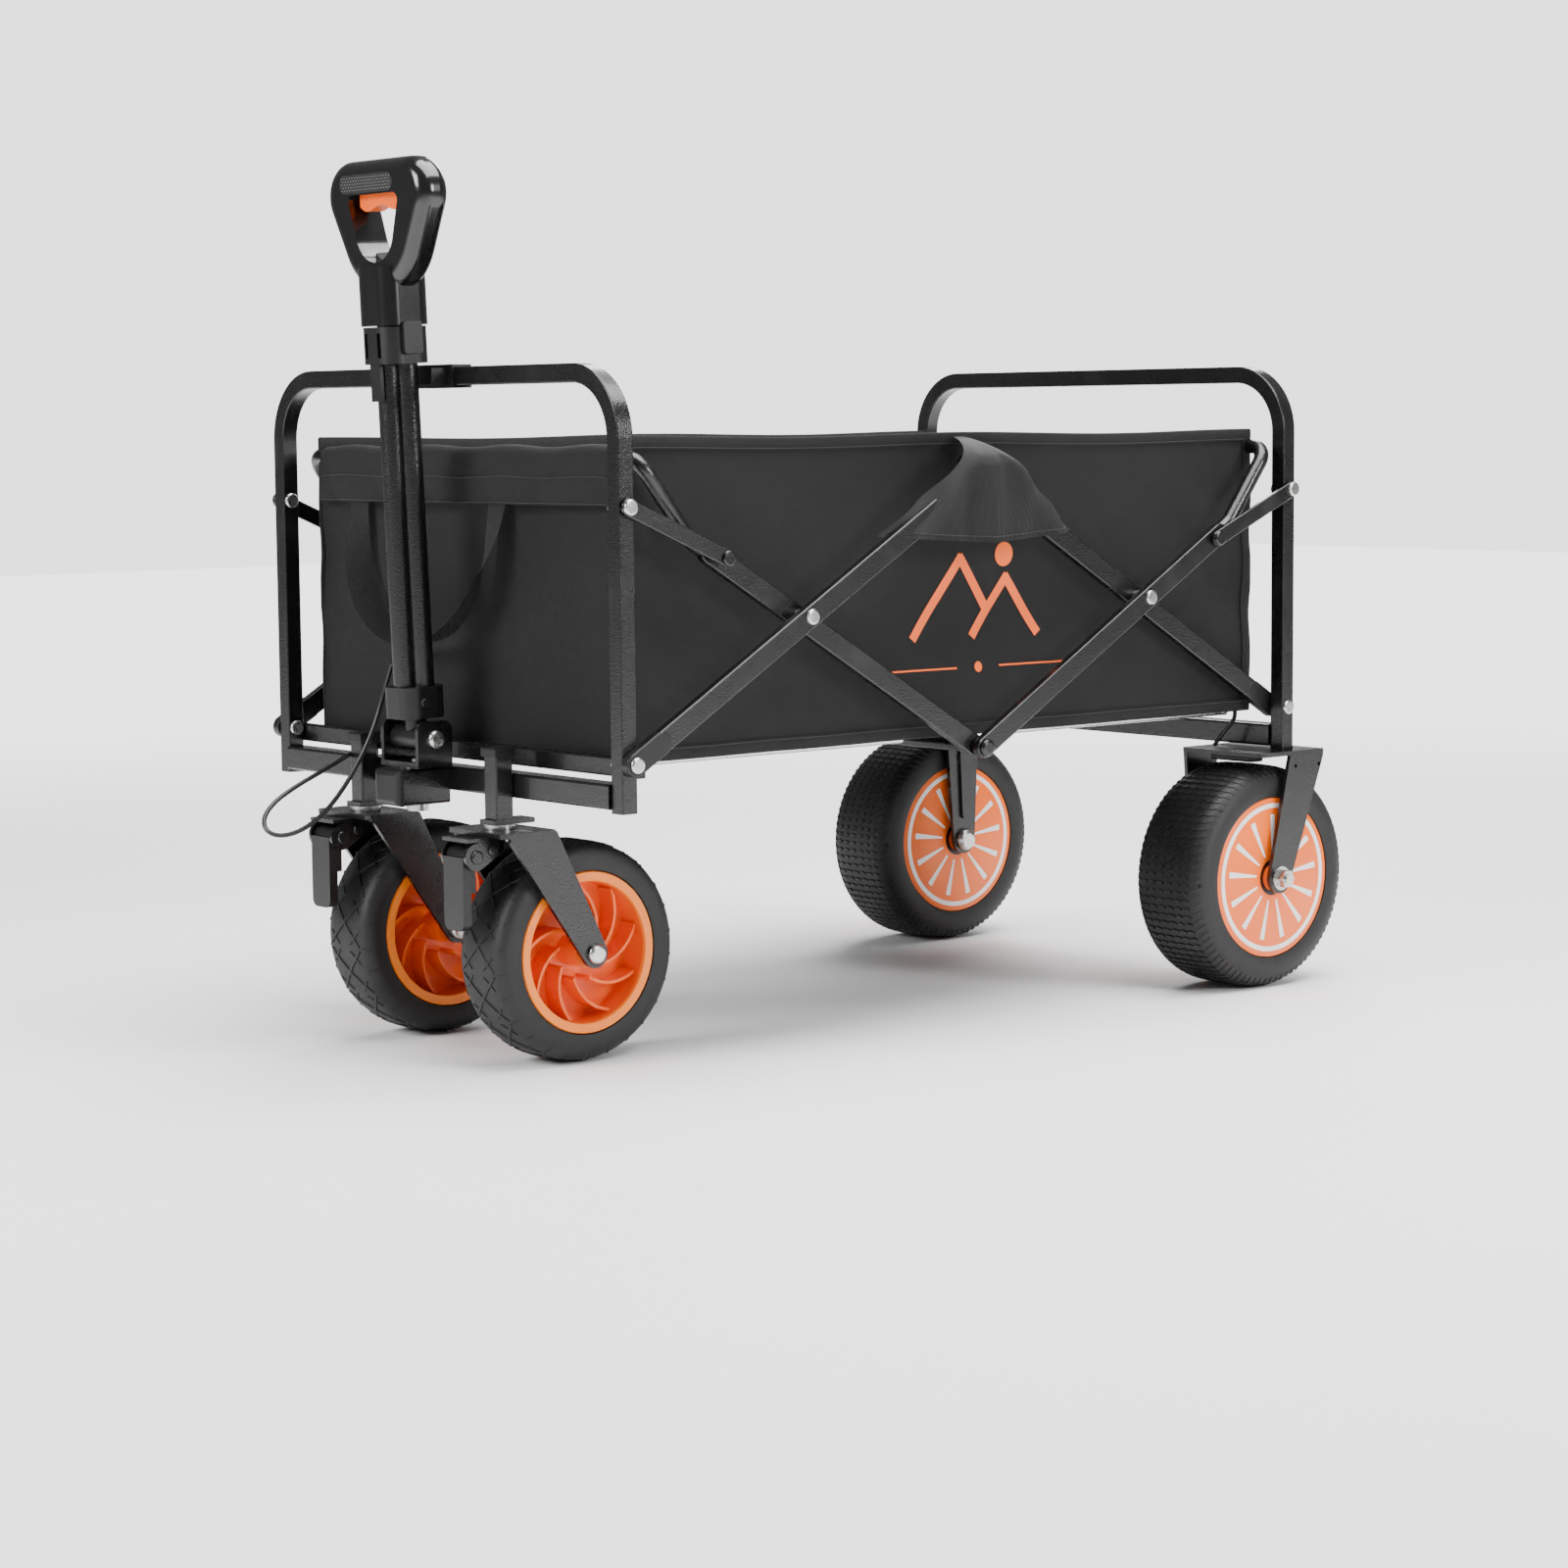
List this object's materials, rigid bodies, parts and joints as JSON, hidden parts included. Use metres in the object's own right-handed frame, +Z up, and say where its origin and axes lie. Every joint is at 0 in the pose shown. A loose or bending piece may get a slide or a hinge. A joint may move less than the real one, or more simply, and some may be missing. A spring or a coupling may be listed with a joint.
{
  "type": "folding camp wagon",
  "caption": "Four-wheeled folding wagon with scissor sides, a fabric basket, swivelling front casters, braked rear wheels and a telescopic pull handle.",
  "frame": {"origin": "on the ground under the middle of the wagon's box", "axes": "+X from the handle end to the rear hoop, +Z up"},
  "size_m": [0.9809, 0.546, 0.7377],
  "materials": {
    "frame_coat": "hammertone powder coat",
    "black_plastic": "fine satin",
    "zinc_steel": "zinc plated",
    "chrome": "polished",
    "basket_fabric": "woven polyester",
    "tyre_rubber": "moulded",
    "orange_plastic": "satin",
    "brake_rubber": "matt",
    "cable_sheath": "satin"
  },
  "bodies": {
    "front_frame": {"front_hoop": "frame_coat", "front_crossbars": "frame_coat", "front_end_caps": "black_plastic", "steering_box": "frame_coat", "front_fasteners": "zinc_steel", "clips": "black_plastic", "front_brake_cable": "cable_sheath"},
    "front_arms": {"front_arms": "frame_coat", "front_arm_caps": "black_plastic", "front_arm_rivets": "zinc_steel"},
    "rear_arms": {"rear_arms": "frame_coat", "rear_arm_caps": "black_plastic", "rear_arm_rivets": "zinc_steel"},
    "front_bent_frame": {"front_bent_frame": "frame_coat", "centre_tube": "frame_coat"},
    "rear_bent_frame": {"rear_bent_frame": "frame_coat"},
    "front_links": {"front_links": "frame_coat"},
    "rear_links": {"rear_links": "frame_coat"},
    "rear_frame": {"rear_frame_tubes": "frame_coat", "rear_forks": "frame_coat", "rear_fasteners": "zinc_steel", "rear_brake_cable": "cable_sheath"},
    "front_panel": {"basket_front_panel": "basket_fabric", "basket_side_near": "basket_fabric", "basket_side_far": "basket_fabric"},
    "rear_panel": {"basket_rear_panel": "basket_fabric"},
    "front_floor": {"floor_front_half": "basket_fabric", "floor_front_rods": "frame_coat"},
    "rear_floor": {"floor_rear_half": "basket_fabric", "floor_rear_rods": "frame_coat"},
    "floor_band": {"floor_centre_band": "basket_fabric"},
    "brake_shoes": {"brake_shoes": "brake_rubber"},
    "steering": {"steering_yoke": "frame_coat", "yoke_bolt": "zinc_steel"},
    "handle": {"handle_foot": "frame_coat", "handle_outer_tube": "frame_coat", "handle_collar": "black_plastic"},
    "collar_lever": {"collar_lever": "black_plastic"},
    "handle_slide": {"handle_inner_tube": "zinc_steel", "grip_front_shell": "black_plastic", "grip_rear_shell": "black_plastic", "grip_pad": "black_plastic"},
    "brake_trigger": {"brake_trigger": "orange_plastic"},
    "release_button": {"release_button": "chrome"},
    "caster_near": {"caster_fork_near": "frame_coat", "caster_axle_near": "zinc_steel", "brake_bracket_near": "frame_coat"},
    "front_wheel_near": {"caster_hub_near": "orange_plastic", "caster_tyre_near": "tyre_rubber"},
    "pedal_near": {"brake_pedal_near": "black_plastic"},
    "rear_wheel_near": {"rear_hub_near": "orange_plastic", "rear_tyre_near": "tyre_rubber"},
    "caster_far": {"caster_fork_far": "frame_coat", "caster_axle_far": "zinc_steel", "brake_bracket_far": "frame_coat"},
    "front_wheel_far": {"caster_hub_far": "orange_plastic", "caster_tyre_far": "tyre_rubber"},
    "pedal_far": {"brake_pedal_far": "black_plastic"},
    "rear_wheel_far": {"rear_hub_far": "orange_plastic", "rear_tyre_far": "tyre_rubber"}
  },
  "joints": [
    {"name": "fold", "type": "hinge", "parent": "front_frame", "child": "front_arms", "pos_m": [-0.3871, 0, 0.258], "axis": [0, -1, 0], "range_deg": [0, 48], "deforming": ["basket_side_near", "basket_side_far"]},
    {"name": "front_cross_pivot", "type": "hinge", "parent": "front_arms", "child": "front_bent_frame", "pos_m": [-0.20585, 0, 0.36604], "axis": [0, -1, 0], "range_deg": [-96.5, 0]},
    {"name": "centre_top_pivot", "type": "hinge", "parent": "front_arms", "child": "rear_arms", "pos_m": [-0.0046, 0, 0.486], "axis": [0, -1, 0], "range_deg": [-96.5, 0]},
    {"name": "rear_cross_pivot", "type": "hinge", "parent": "rear_arms", "child": "rear_bent_frame", "pos_m": [0.19666, 0, 0.36604], "axis": [0, -1, 0], "range_deg": [0, 96.5]},
    {"name": "rear_low_pivot", "type": "hinge", "parent": "rear_arms", "child": "rear_frame", "pos_m": [0.3779, 0, 0.258], "axis": [0, -1, 0], "range_deg": [0, 48.5]},
    {"name": "front_link_pivot", "type": "hinge", "parent": "front_frame", "child": "front_links", "pos_m": [-0.3871, 0, 0.458], "axis": [0, -1, 0], "range_deg": [0, 100.82]},
    {"name": "rear_link_pivot", "type": "hinge", "parent": "rear_frame", "child": "rear_links", "pos_m": [0.3779, 0, 0.458], "axis": [0, -1, 0], "range_deg": [-100.82, 0]},
    {"name": "front_sleeve_pivot", "type": "hinge", "parent": "front_bent_frame", "child": "front_panel", "pos_m": [-0.3651, 0, 0.497], "axis": [0, -1, 0], "range_deg": [0, 48.5]},
    {"name": "rear_sleeve_pivot", "type": "hinge", "parent": "rear_bent_frame", "child": "rear_panel", "pos_m": [0.3559, 0, 0.497], "axis": [0, -1, 0], "range_deg": [-48.5, 0]},
    {"name": "front_floor_hinge", "type": "hinge", "parent": "front_panel", "child": "front_floor", "pos_m": [-0.3531, 0, 0.258], "axis": [0, -1, 0], "range_deg": [0, 89.3]},
    {"name": "rear_floor_hinge", "type": "hinge", "parent": "rear_panel", "child": "rear_floor", "pos_m": [0.3439, 0, 0.258], "axis": [0, -1, 0], "range_deg": [-89.3, 0]},
    {"name": "floor_band_pivot", "type": "hinge", "parent": "front_bent_frame", "child": "floor_band", "pos_m": [-0.0046, 0, 0.24607], "axis": [0, -1, 0], "range_deg": [0, 48.5]},
    {"name": "caster_swivel_near", "type": "hinge", "parent": "front_frame", "child": "caster_near", "pos_m": [-0.4056, -0.0975, 0.197], "axis": [0, 0, -1], "continuous": true},
    {"name": "front_wheel_spin_near", "type": "hinge", "parent": "caster_near", "child": "front_wheel_near", "pos_m": [-0.3391, -0.0975, 0.092], "axis": [0, 1, 0], "continuous": true},
    {"name": "brake_pedal_near", "type": "hinge", "parent": "caster_near", "child": "pedal_near", "pos_m": [-0.4406, -0.0975, 0.178], "axis": [0, 1, 0], "range_deg": [0, 25], "stiffness_Nm_per_rad": 0.5},
    {"name": "rear_wheel_spin_near", "type": "hinge", "parent": "rear_frame", "child": "rear_wheel_near", "pos_m": [0.3539, -0.211, 0.103], "axis": [0, 1, 0], "continuous": true},
    {"name": "caster_swivel_far", "type": "hinge", "parent": "front_frame", "child": "caster_far", "pos_m": [-0.4056, 0.0975, 0.197], "axis": [0, 0, 1], "continuous": true},
    {"name": "front_wheel_spin_far", "type": "hinge", "parent": "caster_far", "child": "front_wheel_far", "pos_m": [-0.3391, 0.0975, 0.092], "axis": [0, 1, 0], "continuous": true},
    {"name": "brake_pedal_far", "type": "hinge", "parent": "caster_far", "child": "pedal_far", "pos_m": [-0.4406, 0.0975, 0.178], "axis": [0, 1, 0], "range_deg": [0, 25], "stiffness_Nm_per_rad": 0.5},
    {"name": "rear_wheel_spin_far", "type": "hinge", "parent": "rear_frame", "child": "rear_wheel_far", "pos_m": [0.3539, 0.211, 0.103], "axis": [0, 1, 0], "continuous": true},
    {"name": "steer", "type": "hinge", "parent": "front_frame", "child": "steering", "pos_m": [-0.4181, 0, 0.2415], "axis": [0, 0, 1], "range_deg": [-35, 35]},
    {"name": "handle_tilt", "type": "hinge", "parent": "steering", "child": "handle", "pos_m": [-0.4181, 0, 0.266], "axis": [0, -1, 0], "range_deg": [0, 84]},
    {"name": "handle_telescope", "type": "slide", "parent": "handle", "child": "handle_slide", "axis": [-0.041, 0, 0.9992], "range_m": [0, 0.24]},
    {"name": "collar_lever_turn", "type": "hinge", "parent": "handle", "child": "collar_lever", "pos_m": [-0.43105, -0.0247, 0.58173], "axis": [0.9992, 0, 0.041], "range_deg": [0, 25], "stiffness_Nm_per_rad": 0.5},
    {"name": "trigger_pull", "type": "slide", "parent": "handle_slide", "child": "brake_trigger", "axis": [-0.041, 0, 0.9992], "range_m": [0, 0.004], "stiffness_N_per_m": 600, "springref_m": -0.002},
    {"name": "button_push", "type": "slide", "parent": "handle_slide", "child": "release_button", "axis": [0.041, 0, -0.9992], "range_m": [0, 0.005], "stiffness_N_per_m": 600, "springref_m": -0.002},
    {"name": "brake_shoe_press", "type": "slide", "parent": "rear_frame", "child": "brake_shoes", "axis": [0, 0, -1], "range_m": [0, 0.002]}
  ],
  "couplings": [
    {"joint": "front_cross_pivot", "follows": "fold", "ratio": -2},
    {"joint": "centre_top_pivot", "follows": "fold", "ratio": -2},
    {"joint": "rear_cross_pivot", "follows": "fold", "ratio": 2},
    {"joint": "rear_low_pivot", "follows": "fold", "ratio": 1},
    {"joint": "front_link_pivot", "follows": "fold", "ratio": 2.09},
    {"joint": "rear_link_pivot", "follows": "fold", "ratio": -2.09},
    {"joint": "front_sleeve_pivot", "follows": "fold", "ratio": 1},
    {"joint": "rear_sleeve_pivot", "follows": "fold", "ratio": -1},
    {"joint": "front_floor_hinge", "follows": "fold", "ratio": 1.85},
    {"joint": "rear_floor_hinge", "follows": "fold", "ratio": -1.85},
    {"joint": "floor_band_pivot", "follows": "fold", "ratio": 1},
    {"joint": "brake_shoe_press", "follows": "trigger_pull", "ratio": 0.5}
  ]
}
